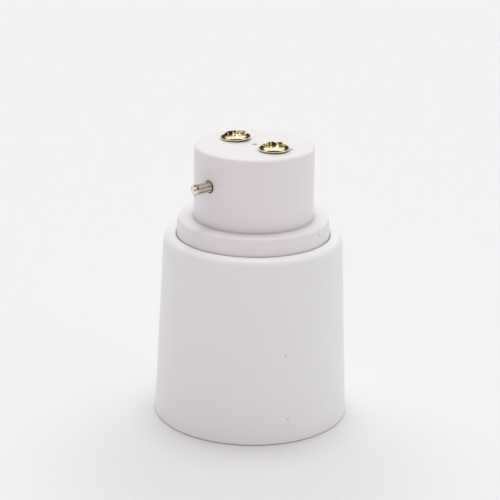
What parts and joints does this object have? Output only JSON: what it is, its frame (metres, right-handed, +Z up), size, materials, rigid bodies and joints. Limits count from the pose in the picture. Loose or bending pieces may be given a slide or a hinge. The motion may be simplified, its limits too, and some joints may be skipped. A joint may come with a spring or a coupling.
{
  "type": "lamp socket adapter",
  "caption": "White moulded lamp socket adapter: bayonet cap with side pins and dished contacts on top, tapered skirt round a screw socket below.",
  "frame": {"origin": "centre of the open rim that the adapter stands on", "axes": "+Z up through the bayonet cap, bayonet pins along X, contacts along Y"},
  "size_m": [0.0362, 0.0362, 0.0525],
  "materials": {
    "shell_plastic": "white moulded thermoset, satin",
    "base_plastic": "white moulded thermoset, satin",
    "pin_steel": "plated steel with straight flutes",
    "contact_brass": "pressed brass, bright dish",
    "strip_brass": "rolled brass sheet",
    "sleeve_nickel": "nickel-plated drawn sheet with a rolled thread",
    "leaf_bronze": "phosphor bronze spring sheet",
    "rivet_brass": "turned brass",
    "screw_steel": "zinc-plated steel"
  },
  "bodies": {
    "housing": {"outer_shell": "shell_plastic", "bayonet_base": "base_plastic", "bayonet_pin_left": "pin_steel", "bayonet_pin_right": "pin_steel", "contact_live": "contact_brass", "contact_neutral": "contact_brass", "live_strip": "strip_brass", "neutral_strip": "strip_brass", "screw_sleeve": "sleeve_nickel", "centre_contact_rivet": "rivet_brass", "sleeve_rivet": "rivet_brass", "base_screw_left": "screw_steel", "base_screw_right": "screw_steel"},
    "spring_leaf": {"centre_contact": "leaf_bronze"}
  },
  "joints": [
    {"name": "centre_contact_flex", "type": "hinge", "parent": "housing", "child": "spring_leaf", "pos_m": [0, 0.0044, 0.0278], "axis": [-1, 0, 0], "range_deg": [0, 15], "stiffness_Nm_per_rad": 0.08, "deforming": ["centre_contact"]}
  ]
}
